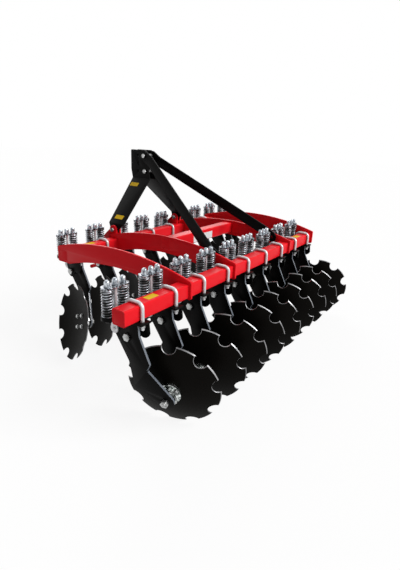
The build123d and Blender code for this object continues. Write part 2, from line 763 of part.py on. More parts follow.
mast_face = mast_gap / 2 + mast_thickness
lug_face = outer_lug_x + lug_thickness / 2
plate_face = inner_plate_x + plate_thickness / 2
bolt_runs = [
    # from x, to x, y, z: shank between the faces it clamps
    (-mast_face, mast_face, front_y + mast_bolt_y, mast_bolt_z[0]),
    (-mast_face, mast_face, front_y + mast_bolt_y, mast_bolt_z[1]),
    (-lug_face, -inner_lug_x + inner_lug_thickness / 2, front_y + foot_bolt_y, foot_bolt_z),
    (inner_lug_x - inner_lug_thickness / 2, lug_face, front_y + foot_bolt_y, foot_bolt_z),
    (-plate_face, -stay_foot_x + stay_thickness / 2, rear_y + stay_foot_y, stay_foot_z),
    (stay_foot_x - stay_thickness / 2, plate_face, rear_y + stay_foot_y, stay_foot_z),
]
with BuildPart() as bolts:
    for left, right, y, z in bolt_runs:
        for x, length, sides in (
            (left - bolt_head, bolt_head, 6),
            (left, right - left, 0),
            (right, bolt_head, 6),
        ):
            with BuildSketch(Plane.YZ.offset(x)):
                with Locations((y, beam_z + z)):
                    if sides:
                        RegularPolygon(bolt_head_radius, sides)
                    else:
                        Circle(mast_bolt_radius)
            extrude(amount=length)
save(bolts, "frame_bolts")
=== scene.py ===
import bmesh
import bpy
import json
import math
from mathutils import Matrix, Vector


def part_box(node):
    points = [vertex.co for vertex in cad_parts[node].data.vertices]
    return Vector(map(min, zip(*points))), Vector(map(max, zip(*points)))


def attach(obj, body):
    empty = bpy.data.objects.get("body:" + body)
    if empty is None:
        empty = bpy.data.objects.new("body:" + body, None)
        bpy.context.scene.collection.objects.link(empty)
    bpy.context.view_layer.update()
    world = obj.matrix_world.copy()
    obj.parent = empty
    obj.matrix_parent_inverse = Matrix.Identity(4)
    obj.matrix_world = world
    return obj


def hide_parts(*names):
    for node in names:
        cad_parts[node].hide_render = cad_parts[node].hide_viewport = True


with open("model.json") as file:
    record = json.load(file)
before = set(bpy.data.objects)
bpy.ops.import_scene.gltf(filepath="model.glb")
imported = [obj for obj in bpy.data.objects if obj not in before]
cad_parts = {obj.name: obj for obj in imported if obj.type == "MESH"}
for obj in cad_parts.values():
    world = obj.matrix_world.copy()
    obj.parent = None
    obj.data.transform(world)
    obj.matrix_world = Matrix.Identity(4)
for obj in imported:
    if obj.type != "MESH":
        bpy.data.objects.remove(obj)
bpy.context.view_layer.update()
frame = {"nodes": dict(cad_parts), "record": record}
bodyOf = {node: body for body, nodes in frame["record"]["behaviour"]["bodies"].items() for node in nodes}
print("frame loaded,", len(frame["nodes"]), "nodes")


# places that everything else is worked out from
def middleOf(node):
    low, high = (Vector(corner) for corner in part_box(node))
    return (low + high) / 2


def lowOf(node):
    return Vector(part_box(node)[0])


def highOf(node):
    return Vector(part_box(node)[1])


units = {"count": 9, "pitch": 0.25, "fromBeamEnd": 0.105}
tubeSide = highOf("rear_beam").y - lowOf("rear_beam").y
rearBeam = middleOf("rear_beam")
frontBeam = middleOf("front_beam")
gangGap = frontBeam.y - rearBeam.y
mastBase = Vector((0, frontBeam.y, frontBeam.z))
firstUnit = Vector((lowOf("rear_beam").x + units["fromBeamEnd"], rearBeam.y, rearBeam.z))


# shader maths written as expressions on sockets
class Wire:
    def __init__(self, finish, socket):
        self.finish = finish
        self.socket = socket

    def maths(self, operation, first, second):
        return self.finish.node("ShaderNodeMath", {"operation": operation}, {0: first, 1: second})

    def __add__(self, other):
        return self.maths("ADD", self, other)

    __radd__ = __add__

    def __sub__(self, other):
        return self.maths("SUBTRACT", self, other)

    def __mul__(self, other):
        return self.maths("MULTIPLY", self, other)

    __rmul__ = __mul__


class Finish:
    def __init__(self, name):
        self.material = bpy.data.materials.new(name)
        self.material.use_nodes = True
        self.tree = self.material.node_tree
        self.shader = self.tree.nodes["Principled BSDF"]
        self.place = self.node("ShaderNodeTexCoord", output="Object")

    def node(self, kind, settings=None, sockets=None, output=0):
        made = self.tree.nodes.new(kind)
        for key, value in (settings or {}).items():
            setattr(made, key, value)
        for key, value in (sockets or {}).items():
            self.feed(made.inputs[key], value)
        return Wire(self, made.outputs[output])

    def feed(self, socket, value):
        if isinstance(value, Wire):
            self.tree.links.new(value.socket, socket)
        else:
            socket.default_value = value

    def noise(self, scale, detail=3.0):
        return self.node("ShaderNodeTexNoise", {}, {"Vector": self.place, "Scale": scale, "Detail": detail})

    def mix(self, factor, first, second):
        return self.node(
            "ShaderNodeMix", {"data_type": "RGBA"}, {0: factor, 6: (*first, 1), 7: (*second, 1)}, output=2
        )

    def bump(self, height, strength, distance):
        return self.node("ShaderNodeBump", {}, {"Strength": strength, "Distance": distance, "Height": height})

    def wear(self, **sockets):
        for name, value in sockets.items():
            self.feed(self.shader.inputs[name.replace("_", " ")], value)
        return self.material


paintSkin = {"glossScale": 90, "glossRange": 0.1, "grainScale": 380, "grainDepth": 0.0004}
metalSkin = {"scale": 240, "glossRange": 0.16, "bump": 0.12, "bumpDepth": 0.0003}


def paint(name, dark, light, roughness, gloss, cloudScale=2.5, grain=0.0):
    finish = Finish(name)
    cloud = finish.noise(cloudScale)
    fine = finish.noise(paintSkin["glossScale"], 2.0)
    return finish.wear(
        Base_Color=finish.mix(cloud, dark, light),
        Roughness=roughness + paintSkin["glossRange"] * (fine - 0.5),
        Specular_IOR_Level=gloss,
        Normal=finish.bump(finish.noise(paintSkin["grainScale"], 1.0), grain, paintSkin["grainDepth"]),
    )


def metal(name, dark, light, roughness, metallic=1.0, blotchesAndReflections=(38, 0.3, 0.7)):
    # the dark-to-light mix is partly the plating's own blotches and partly painted reflection; its three
    # numbers are how fine it is, and where the dark ends and the light begins
    finish = Finish(name)
    scale, darkEnd, lightStart = blotchesAndReflections
    blotchAndReflection = finish.node(
        "ShaderNodeMapRange", {}, {"Value": finish.noise(scale), "From Min": darkEnd, "From Max": lightStart}
    )
    fine = finish.noise(metalSkin["scale"], 2.0)
    return finish.wear(
        Base_Color=finish.mix(blotchAndReflection, dark, light),
        Metallic=metallic,
        Roughness=roughness + metalSkin["glossRange"] * (fine - 0.5),
        Normal=finish.bump(fine, metalSkin["bump"], metalSkin["bumpDepth"]),
    )


redPaint = paint("redPaint", (0.78, 0.009, 0.016), (0.86, 0.013, 0.022), 0.32, 0.08, grain=0.12)
blackPaint = paint("blackPaint", (0.002, 0.002, 0.002), (0.0045, 0.0042, 0.004), 0.38, 0.05, grain=0.2)
discPaint = paint("discPaint", (0.003, 0.0025, 0.002), (0.007, 0.006, 0.0048), 0.4, 0.03, 5.0, grain=0.15)
# in the metals below, the mix from dark to light is partly painted reflection
groundEdge = metal("groundEdge", (0.14, 0.14, 0.145), (0.34, 0.34, 0.345), 0.42, blotchesAndReflections=(14, 0.35, 0.65))
zincPlate = metal("zincPlate", (0.2, 0.2, 0.195), (0.58, 0.59, 0.59), 0.32)
hubZinc = metal("hubZinc", (0.16, 0.18, 0.17), (0.85, 0.88, 0.87), 0.22, blotchesAndReflections=(70, 0.42, 0.58))
knobZinc = metal("knobZinc", (0.2, 0.22, 0.25), (0.62, 0.66, 0.7), 0.28, blotchesAndReflections=(75, 0.38, 0.6))
# the yokes' near-black to light mix paints dark shade and bright spots
yokeZinc = metal("yokeZinc", (0.01, 0.01, 0.012), (0.42, 0.44, 0.48), 0.28, blotchesAndReflections=(95, 0.45, 0.6))
paleZinc = metal("paleZinc", (0.6, 0.6, 0.61), (0.74, 0.74, 0.76), 0.45, 0.5)
# the springs' dark-to-light mix paints silver highlights and black shade on the coils
springSteel = metal("springSteel", (0.03, 0.03, 0.03), (0.44, 0.46, 0.5), 0.24, 0.8, blotchesAndReflections=(30, 0.38, 0.62))
# near-black, for the rods and for the cores inside the springs, where it stands in for shade
rodAndShadeBlack = metal("rodAndShadeBlack", (0.006, 0.006, 0.006), (0.012, 0.012, 0.012), 0.4, 0.0)
# a lighter finish for the rounded edges of black pieces, a painted highlight
blackEdgeHighlight = paint("blackEdgeHighlight", (0.06, 0.062, 0.068), (0.11, 0.115, 0.125), 0.3, 0.5, 30)
# a lighter, glossier finish laid on the arms' rear edges as a painted highlight
armEdgeHighlight = paint("armEdgeHighlight", (0.07, 0.08, 0.1), (0.2, 0.225, 0.26), 0.25, 0.6, 12)
labelYellow = paint("labelYellow", (0.8, 0.5, 0.01), (0.85, 0.55, 0.02), 0.45, 0.1)
labelWhite = paint("labelWhite", (0.78, 0.78, 0.78), (0.84, 0.84, 0.84), 0.4, 0.1)
print("finishes made")


# ways of working that every piece uses
def deselect():
    if bpy.context.mode != "OBJECT":
        bpy.ops.object.mode_set(mode="OBJECT")
    bpy.ops.object.select_all(action="DESELECT")


def pick(*pieces):
    deselect()
    for piece in pieces:
        piece.select_set(True)
    bpy.context.view_layer.objects.active = pieces[0]


def named(name):
    piece = bpy.context.active_object
    piece.name = name
    piece.data.name = name
    return piece


def edit(piece, everything=True):
    pick(piece)
    bpy.ops.object.mode_set(mode="EDIT")
    bpy.ops.mesh.select_all(action="SELECT" if everything else "DESELECT")


def objectMode():
    bpy.ops.object.mode_set(mode="OBJECT")


def settle(piece):
    pick(piece)
    bpy.ops.object.transform_apply(location=True, rotation=True, scale=True)


def modified(piece, kind, **settings):
    pick(piece)
    modifier = piece.modifiers.new(kind.title(), kind)
    for key, value in settings.items():
        setattr(modifier, key, value)
    bpy.ops.object.modifier_apply(modifier=modifier.name)


def copied(piece, name):
    pick(piece)
    bpy.ops.object.duplicate()
    return named(name)


def joined(pieces, name):
    pick(*pieces)
    if len(pieces) > 1:
        bpy.ops.object.join()
    return named(name)


def removed(*pieces):
    pick(*pieces)
    bpy.ops.object.delete()


def outward(piece):
    edit(piece)
    bpy.ops.mesh.remove_doubles(threshold=1e-6)
    bpy.ops.mesh.normals_make_consistent(inside=False)
    objectMode()


def smoothed(piece, degrees=32):
    pick(piece)
    bpy.ops.object.shade_smooth_by_angle(angle=math.radians(degrees))


def coated(piece, *finishes):
    piece.data.materials.clear()
    for finish in finishes:
        piece.data.materials.append(finish)


def coatedWith(piece, number):
    # every face takes the finish of this number in the piece's list
    for polygon in piece.data.polygons:
        polygon.material_index = number


def fitted(piece, body="frame", replaced=()):
    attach(piece, body)
    if replaced:
        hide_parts(*replaced)


def turned(name, rings, sides):
    # a lathe: rings of (radius, height) from the first face to the last, closed at both ends
    deselect()
    radius, height = rings[0]
    bpy.ops.mesh.primitive_circle_add(
        vertices=sides, radius=radius, fill_type="NGON", location=(0, 0, height)
    )
    piece = named(name)
    settle(piece)
    edit(piece)
    for nextRadius, nextHeight in rings[1:]:
        bpy.ops.mesh.extrude_region_move(TRANSFORM_OT_translate={"value": (0, 0, nextHeight - height)})
        scale = nextRadius / radius
        if scale != 1:
            bpy.ops.transform.resize(value=(scale, scale, 1), center_override=(0, 0, nextHeight))
        radius, height = nextRadius, nextHeight
    objectMode()
    outward(piece)
    return piece


def hexagon(name, radius, low, high, chamfer=0.0015):
    face = radius - chamfer
    return turned(name, [(face, low), (radius, low + chamfer), (radius, high - chamfer), (face, high)], 6)


def alongGangs(piece):
    # nine along the rear gang, and their mirror images along the front gang
    modified(
        piece,
        "ARRAY",
        count=units["count"],
        use_relative_offset=False,
        use_constant_offset=True,
        constant_offset_displace=(units["pitch"], 0, 0),
    )
    name = piece.name
    front = copied(piece, name + "Front")
    front.scale.x = -1
    front.location.y = gangGap
    settle(front)
    outward(front)
    return joined([piece, front], name)


def moved(piece, low, high, shift):
    # everything inside a box, given from the mast's base on the front beam's axis, is shifted
    edit(piece, everything=False)
    mesh = bmesh.from_edit_mesh(piece.data)
    for vertex in mesh.verts:
        place = vertex.co - mastBase
        vertex.select = all(a < b < c for a, b, c in zip(low, place, high))
    mesh.select_flush(True)
    bmesh.update_edit_mesh(piece.data)
    bpy.ops.transform.translate(value=shift)
    objectMode()


rounding = {
    "plate": 0.0018,
    "blackPlate": 0.0014,
    "yoke": 0.0014,
    "fastener": 0.0012,
    "cap": 0.001,
    "none": 0,
}
# a face belongs to an arm's rear edge, and takes a painted highlight, if it looks this far rearwards, this
# little sideways, and is this large
armHighlightFaces = {"rearward": 0.6, "sideways": 0.45, "area": 2e-5}


# the arms' rear-edge faces take the lighter finish, a painted highlight
def paintArmEdgeHighlights(piece):
    piece.data.materials.append(armEdgeHighlight)
    number = len(piece.data.materials) - 1
    for polygon in piece.data.polygons:
        rear = polygon.normal.y < -armHighlightFaces["rearward"] and abs(polygon.normal.x) < armHighlightFaces["sideways"]
        if rear and polygon.area > armHighlightFaces["area"]:
            polygon.material_index = number


def softened(node, name, finish, width, cutAbove=None, edgeHighlight=None, moves=(), slices=()):
    # a smooth copy of a CAD node with its edges rounded off, whose rounded edges may take a lighter finish as
    # a painted highlight;
    # slices are heights above the front beam's axis at which a move may bend it
    piece = copied(frame["nodes"][node], name)
    piece.parent = None
    settle(piece)
    edit(piece)
    bpy.ops.mesh.remove_doubles(threshold=1e-6)
    bpy.ops.mesh.dissolve_limited(angle_limit=math.radians(0.5))
    if cutAbove:
        bpy.ops.mesh.select_all(action="SELECT")
        bpy.ops.mesh.bisect(plane_co=(0, 0, cutAbove), plane_no=(0, 0, 1), clear_outer=True, use_fill=True)
    for height in slices:
        bpy.ops.mesh.select_all(action="SELECT")
        bpy.ops.mesh.bisect(plane_co=(0, 0, frontBeam.z + height), plane_no=(0, 0, 1))
    objectMode()
    for low, high, shift in moves:
        moved(piece, low, high, shift)
    if width:
        modified(
            piece,
            "BEVEL",
            width=width,
            segments=2,
            limit_method="ANGLE",
            angle_limit=math.radians(40),
            miter_outer="MITER_ARC",
            material=1 if edgeHighlight else -1,
        )
    coated(piece, *([finish, edgeHighlight] if edgeHighlight else [finish]))
    # the arms' rear edges take a painted highlight
    if node == "disc_arms":
        paintArmEdgeHighlights(piece)
    smoothed(piece)
    fitted(piece, bodyOf[node], (node,))
    return piece


# frame: beams, plates, mast, stays and hitch
for node, name, kind in (
    ("rear_beam", "rearBeam", "none"),
    ("front_beam", "frontBeam", "none"),
    ("cross_tube", "crossTube", "none"),
    ("tube_end_caps", "tubeEndCaps", "cap"),
    ("arch_plate_left_outer", "archPlateLeftOuter", "plate"),
    ("arch_plate_left_inner", "archPlateLeftInner", "plate"),
    ("arch_plate_right_inner", "archPlateRightInner", "plate"),
    ("arch_plate_right_outer", "archPlateRightOuter", "plate"),
    ("hitch_lugs_left", "hitchLugsLeft", "plate"),
    ("hitch_lugs_right", "hitchLugsRight", "plate"),
    ("hitch_pin_left", "hitchPinLeft", "fastener"),
    ("hitch_pin_right", "hitchPinRight", "fastener"),
):
    softened(node, name, redPaint, rounding[kind])
# the arms' and brackets' rounded edges are painted lighter as a highlight
for node, name in (("disc_arms", "discArms"), ("unit_brackets", "unitBrackets")):
    softened(node, name, blackPaint, rounding["blackPlate"], edgeHighlight=blackEdgeHighlight)

# mast and stays: the head leans forward, its bolts go with it, and the stays lie against its outer faces
wide = 2.0
headStart = 0.515  # above the front beam's axis
headMoves = [
    # low corner, high corner, shift
    ((-wide, 0.12, 0.5), (wide, 0.2, 0.9), (0, 0.033, 0)),  # front edge of the head
    ((-wide, 0.12, 0.43), (wide, 0.2, 0.46), (0, 0.018, 0)),  # front end of the fold
    ((-wide, -0.02, 0.65), (wide, 0.005, 0.9), (0, 0.028, 0)),  # rear top corner
    ((-wide, -0.02, 0.43), (wide, -0.005, 0.46), (0, -0.014, 0)),  # rear end of the fold
    ((-wide, 0.0025, 0.49), (wide, 0.0255, 0.5155), (0, 0.008, -0.002)),  # lower bolt's hole
    ((-wide, 0.0025, 0.6055), (wide, 0.0255, 0.6285), (0, 0.008, 0.001)),  # upper bolt's hole
]
boltMoves = [
    ((-0.1, -0.05, 0.48), (0.1, 0.05, 0.53), (0, 0.008, -0.002)),  # lower bolt
    ((0.0, -0.05, 0.59), (0.1, 0.05, 0.65), (0.012, 0.008, 0.001)),  # upper bolt's right half
    ((-0.1, -0.05, 0.59), (0.0, 0.05, 0.65), (-0.012, 0.008, 0.001)),  # upper bolt's left half
]
# the mast plates' and stays' rounded edges are painted lighter as a highlight
for side, word in ((-1, "Left"), (1, "Right")):
    softened(
        f"mast_plate_{word.lower()}",
        f"mastPlate{word}",
        blackPaint,
        rounding["blackPlate"],
        edgeHighlight=blackEdgeHighlight,
        moves=headMoves,
        slices=(headStart,),
    )
    softened(
        f"stay_{word.lower()}",
        f"stay{word}",
        blackPaint,
        rounding["blackPlate"],
        edgeHighlight=blackEdgeHighlight,
        moves=[
            ((-wide, -0.2, 0.5), (wide, 0.2, 0.8), (side * 0.024, 0.008, 0.001)),  # top end
            ((-wide, -1.2, -0.1), (wide, -0.6, 0.3), (0, -0.038, 0.001)),  # foot
        ],
    )
softened("mast_spacers", "mastSpacers", zincPlate, rounding["none"], moves=boltMoves)
softened("frame_bolts", "frameBolts", zincPlate, rounding["fastener"], moves=boltMoves)
for node, name in (("arm_pivot_bolts", "armPivotBolts"), ("disc_spindles", "discSpindles")):
    softened(node, name, zincPlate, rounding["fastener"])
softened("spring_yokes", "springYokes", yokeZinc, rounding["yoke"])
print("frame dressed")

# clamps: round bar bent over the beam, with a nut and washer on each end
clamp = {
    "bar": 0.0095,
    "sides": 12,
    "bend": 0.027,
    "steps": 6,
    "nut": 0.0165,
    "nutDepth": 0.015,
    "washer": 0.02,
    "washerDepth": 0.003,
    "washerSides": 20,
    "gap": 0.0003,
    "underSprings": 0.018,
}


def makeClamps():
    out = tubeSide / 2 + clamp["bar"] + clamp["gap"]
    low = lowOf("u_bolts").z - rearBeam.z
    level = out - clamp["bend"]
    quarter = math.pi / 2
    deselect()
    bpy.ops.mesh.primitive_circle_add(
        vertices=clamp["sides"], radius=clamp["bar"], fill_type="NGON", location=(0, -out, low)
    )
    bar = named("uBolts")
    settle(bar)
    edit(bar)
    bpy.ops.mesh.extrude_region_move(TRANSFORM_OT_translate={"value": (0, 0, level - low)})
    bpy.ops.mesh.spin(steps=clamp["steps"], angle=quarter, center=(0, -level, level), axis=(1, 0, 0))
    bpy.ops.mesh.extrude_region_move(TRANSFORM_OT_translate={"value": (0, 2 * level, 0)})
    bpy.ops.mesh.spin(steps=clamp["steps"], angle=quarter, center=(0, level, level), axis=(1, 0, 0))
    bpy.ops.mesh.extrude_region_move(TRANSFORM_OT_translate={"value": (0, 0, low - level)})
    objectMode()
    outward(bar)
    coated(bar, paleZinc, zincPlate)
    pieces = [bar]
    under = lowOf("springs").z - rearBeam.z - clamp["underSprings"]
    nutTop = under - clamp["washerDepth"]
    for side in (-out, out):
        for part in (
            turned("washer", [(clamp["washer"], nutTop), (clamp["washer"], under)], clamp["washerSides"]),
            hexagon("nut", clamp["nut"], nutTop - clamp["nutDepth"], nutTop),
        ):
            part.location.y = side
            settle(part)
            coated(part, paleZinc, zincPlate)
            coatedWith(part, 1)
            pieces.append(part)
    one = joined(pieces, "uBolts")
    one.location = firstUnit
    settle(one)
    clamps = alongGangs(one)
    smoothed(clamps)
    fitted(clamps, "frame", ("u_bolts",))


makeClamps()


# springs: a coil with closed ends, two to a unit
spring = {
    "radius": 0.031,
    "wire": 0.007,
    "wireSides": 8,
    "turns": 9,
    "steps": 18,
    "endSteps": 24,
    "side": 0.05,
    "armX": -0.02,
    "y": 0.104,
}
# a near-black core inside each spring, painted shade for the inside of the coil
shadeCore = {"radius": 0.0205, "sides": 16, "past": 0.001}
springLow = lowOf("springs").z
springHigh = highOf("springs").z


def springPlace(side):
    return (firstUnit.x + spring["armX"] + side, firstUnit.y + spring["y"], 0)


def makeSprings():
    wire = spring["wire"] / 2
    middle = spring["radius"] - wire
    climb = springHigh - springLow - 2 * spring["wire"]
    deselect()
    bpy.ops.mesh.primitive_circle_add(
        vertices=spring["wireSides"],
        radius=wire,
        location=(middle, 0, springLow + spring["wire"]),
        rotation=(math.pi / 2, 0, 0),
    )
    coil = named("coil")
    settle(coil)
    modified(
        coil,
        "SCREW",
        screw_offset=climb / spring["turns"],
        iterations=spring["turns"],
        steps=spring["steps"],
        render_steps=spring["steps"],
        use_merge_vertices=True,
    )
    edit(coil)
    bpy.ops.mesh.fill_holes(sides=spring["wireSides"])
    objectMode()
    ends = []
    for height in (springLow + wire, springHigh - wire):
        deselect()
        bpy.ops.mesh.primitive_torus_add(
            major_segments=spring["endSteps"],
            minor_segments=spring["wireSides"],
            major_radius=middle,
            minor_radius=wire,
            location=(0, 0, height),
        )
        ends.append(named("closedEnd"))
        settle(ends[-1])
    left = joined([coil, *ends], "springs")
    left.location = springPlace(-spring["side"])
    settle(left)
    right = copied(left, "springRight")
    right.location.x = 2 * spring["side"]
    settle(right)
    pair = joined([left, right], "springs")
    outward(pair)
    springs = alongGangs(pair)
    coated(springs, springSteel)
    smoothed(springs, 60)
    fitted(springs, "frame", ("springs",))


def makeShadeCores():
    # a dark tube around each rod inside its spring, put there as painted shade for the inside of the coil
    ends = [(shadeCore["radius"], springLow - shadeCore["past"]), (shadeCore["radius"], springHigh + shadeCore["past"])]
    tubes = []
    for side in (-spring["side"], spring["side"]):
        tube = turned("shadeCore", ends, shadeCore["sides"])
        tube.location = springPlace(side)
        settle(tube)
        tubes.append(tube)
    tubes = alongGangs(joined(tubes, "springShadeCores"))
    coated(tubes, rodAndShadeBlack)
    smoothed(tubes)
    fitted(tubes)


makeSprings()
makeShadeCores()

# spring rods, and the domed nuts on their tops
rod = {"pastYoke": 0.002, "halfClevis": 0.03}
knob = {
    "radius": 0.0145,
    "dome": 0.012,
    "domeDegrees": 78,
    "domeSteps": 4,
    "sides": 16,
    "collar": 0.0165,
    "collarHeight": 0.006,
    "step": 0.001,
}
yokeTop = highOf("spring_yokes").z


def makeKnobs():
    top = highOf("spring_rods").z
    shoulder = top - knob["dome"]
    rings = [
        (knob["collar"], yokeTop),
        (knob["collar"], yokeTop + knob["collarHeight"]),
        (knob["radius"], yokeTop + knob["collarHeight"] + knob["step"]),
        (knob["radius"], shoulder),
    ]
    for step in range(1, knob["domeSteps"] + 1):
        turn = math.radians(knob["domeDegrees"] * step / knob["domeSteps"])
        rings.append((knob["radius"] * math.cos(turn), shoulder + knob["dome"] * math.sin(turn)))
    one = turned("springKnobs", rings, knob["sides"])
    knobs = []
    for side in (0, -spring["side"], spring["side"]):
        knobs.append(copied(one, "knob"))
        knobs[-1].location = springPlace(side)
        settle(knobs[-1])
    removed(one)
    knobs = alongGangs(joined(knobs, "springKnobs"))
    coated(knobs, knobZinc)
    smoothed(knobs)
    fitted(knobs)


def makeRods():
    # cut off inside the knobs; the middle rod of each unit and its clevis are bright
    rods = softened(
        "spring_rods",
        "springRods",
        rodAndShadeBlack,
        rounding["none"],
        cutAbove=yokeTop + rod["pastYoke"],
    )
    rods.data.materials.append(paleZinc)
    for polygon in rods.data.polygons:
        across = (abs(springPlace(0)[0]) - abs(polygon.center.x)) % units["pitch"]
        if min(across, units["pitch"] - across) < rod["halfClevis"]:
            polygon.material_index = 1


makeRods()
makeKnobs()
print("springs made")


# discs: a spherical dish with notches, a ground edge, and its hub with four bolts
disc = {
    "radius": 0.255,
    "dish": 0.055,
    "thickness": 0.005,
    "bevel": 0.0035,
    "around": 108,
    "rings": 50,
    "rimBand": 0.0005,
    "groundBand": 0.001,
}
# a notch is cut straight through, and then again by a flared cutter that leaves its ground edge
notch = {
    "count": 9,
    "radius": 0.037,
    "middle": 0.25,
    "depth": 0.05,
    "sides": 32,
    "flare": 0.012,
    "flareDepth": 0.014,
    "flareTop": 0.003,
    "flareDrop": 0.006,
}
ball = (disc["radius"] ** 2 + disc["dish"] ** 2) / (2 * disc["dish"])
ballMiddle = ball - disc["dish"]


def notchCutter(flared):
    deselect()
    if flared:
        bpy.ops.mesh.primitive_cone_add(
            vertices=notch["sides"],
            radius1=notch["radius"] + notch["flare"],
            radius2=notch["radius"],
            depth=notch["flareDepth"],
        )
    else:
        bpy.ops.mesh.primitive_cylinder_add(
            vertices=notch["sides"], radius=notch["radius"], depth=notch["depth"]
        )
    cutter = named("notchCutter")
    settle(cutter)
    if flared:
        cutter.location = (0, 0, notch["flareTop"] - notch["flareDepth"] / 2)
        settle(cutter)
    return cutter


def cutNotches(piece, flared):
    slope = -math.asin(notch["middle"] / ball) if flared else 0
    drop = -notch["flareDrop"] if flared else 0
    cutters = []
    for number in range(notch["count"]):
        around = Matrix.Rotation(math.radians(360 * number / notch["count"]), 4, "Z")
        cutter = notchCutter(flared)
        cutter.matrix_world = (
            around @ Matrix.Translation((notch["middle"], 0, drop)) @ Matrix.Rotation(slope, 4, "Y")
        )
        settle(cutter)
        cutters.append(cutter)
    tool = joined(cutters, "notchTool")
    coated(tool, discPaint, groundEdge)
    coatedWith(tool, 1)
    modified(piece, "BOOLEAN", operation="DIFFERENCE", object=tool, solver="EXACT")
    removed(tool)


def makeDisc():
    deselect()
    bpy.ops.mesh.primitive_uv_sphere_add(
        segments=disc["around"], ring_count=disc["rings"], radius=ball, location=(0, 0, ballMiddle)
    )
    piece = named("discMaster")
    settle(piece)
    edit(piece)
    bpy.ops.mesh.bisect(plane_co=(0, 0, 0), plane_no=(0, 0, 1), clear_outer=True)
    objectMode()
    modified(piece, "SOLIDIFY", thickness=disc["thickness"], offset=1)
    outer = ball + disc["thickness"]
    bevelled = disc["radius"] - disc["bevel"]
    edit(piece, everything=False)
    mesh = bmesh.from_edit_mesh(piece.data)
    reach = max(vertex.co.xy.length for vertex in mesh.verts)
    low = 0
    for vertex in mesh.verts:
        if vertex.co.xy.length > reach - disc["rimBand"]:
            vertex.select = True
            low = vertex.co.z
    mesh.select_flush(True)
    bmesh.update_edit_mesh(piece.data)
    bpy.ops.transform.resize(value=(bevelled / reach, bevelled / reach, 1), center_override=(0, 0, low))
    bpy.ops.transform.translate(value=(0, 0, ballMiddle - math.sqrt(outer**2 - bevelled**2) - low))
    objectMode()
    coated(piece, discPaint, groundEdge)
    for polygon in piece.data.polygons:
        rim = [piece.data.vertices[v].co.xy.length for v in polygon.vertices]
        if max(rim) > disc["radius"] - disc["groundBand"] and polygon.normal.z < 0:
            polygon.material_index = 1
    cutNotches(piece, flared=False)
    cutNotches(piece, flared=True)
    smoothed(piece, 25)
    return piece


# heights are along the disc's axis, from the plane of its rim
hub = {
    "flange": 0.062,
    "flangeDepth": 0.012,
    "intoDisc": 0.004,
    "barrel": 0.04,
    "fillet": 0.004,
    "rim": 0.046,
    "rimStart": 0.014,
    "rimDepth": 0.012,
    "bore": 0.0203,
    "start": -0.0605,
    "end": -0.101,
    "boreEnd": -0.063,
    "edge": 0.0015,
    "sides": 40,
}
hubBolt = {
    "circle": 0.0505,
    "head": 0.0125,
    "headDepth": 0.009,
    "nutDepth": 0.01,
    "nutSink": 0.001,
    "washer": 0.015,
    "washerDepth": 0.003,
    "washerSink": 0.002,
    "washerSides": 20,
    "radius": 0.007,
    "pastNut": 0.006,
    "sides": 12,
}


def makeHub():
    edge = hub["edge"]
    flangeBack = hub["start"] - hub["flangeDepth"]
    rings = [
        (hub["flange"], hub["start"] + hub["intoDisc"]),
        (hub["flange"], flangeBack + edge),
        (hub["flange"] - edge, flangeBack),
        (hub["barrel"] + hub["fillet"], flangeBack),
        (hub["barrel"], flangeBack - hub["fillet"]),
        (hub["barrel"], hub["end"] + hub["rimStart"]),
        (hub["rim"] - edge, hub["end"] + hub["rimDepth"]),
        (hub["rim"], hub["end"] + hub["rimDepth"] - edge),
        (hub["rim"], hub["end"] + edge),
        (hub["rim"] - edge, hub["end"]),
        (hub["bore"], hub["end"]),
        (hub["bore"], hub["boreEnd"]),
    ]
    pieces = [turned("hubBody", rings, hub["sides"])]
    coated(pieces[0], hubZinc, zincPlate)
    dishAtBolts = ballMiddle - math.sqrt(ball**2 - hubBolt["circle"] ** 2)
    washerLow = dishAtBolts - hubBolt["washerSink"]
    washerTop = dishAtBolts + hubBolt["washerDepth"]
    nutBack = flangeBack - hubBolt["nutDepth"]
    washer = [(hubBolt["washer"], washerLow), (hubBolt["washer"], washerTop)]
    boltEnd = [(hubBolt["radius"], nutBack - hubBolt["pastNut"]), (hubBolt["radius"], flangeBack)]
    for number in range(4):
        turn = math.radians(45 + 90 * number)
        for part in (
            turned("washer", washer, hubBolt["washerSides"]),
            hexagon("boltHead", hubBolt["head"], washerTop, washerTop + hubBolt["headDepth"]),
            hexagon("boltNut", hubBolt["head"], nutBack, flangeBack + hubBolt["nutSink"]),
            turned("boltEnd", boltEnd, hubBolt["sides"]),
        ):
            part.location = (hubBolt["circle"] * math.cos(turn), hubBolt["circle"] * math.sin(turn), 0)
            settle(part)
            coated(part, hubZinc, zincPlate)
            coatedWith(part, 1)
            pieces.append(part)
    return joined(pieces, "hubMaster")


# how far each disc stands turned about its spindle, in degrees, from unit 1 to unit 9
discTurns = {"rear": (8, 3, 26, 17, 39, 12, 30, 27, 1), "front": (14, 31, 5, 22, 37, 10, 28, 24, 22)}
discMaster = makeDisc()
hubMaster = makeHub()
smoothed(hubMaster)
print("disc and hub masters made")


def placeDisc(joint):
    # a disc and its hub, facing along the joint's axis
    node = joint["name"].removesuffix("_spin")
    row, number = node.split("_")[1:]
    away = Vector(joint["axis"]).normalized()
    level = Vector((0, 0, 1)).cross(away).normalized()
    turn = Matrix((level, away.cross(level), away)).transposed().to_4x4()
    turn @= Matrix.Rotation(math.radians(discTurns[row][int(number) - 1]), 4, "Z")
    for master, name, slot, replaced in (
        (discMaster, f"disc{row.title()}{number}", "disc_paint", (node,)),
        (hubMaster, f"hub{row.title()}{number}", "zinc_plate", ()),
    ):
        piece = copied(master, name)
        piece.matrix_world = Matrix.Translation(joint["pos_m"]) @ turn
        settle(piece)
        fitted(piece, joint["child"], replaced)


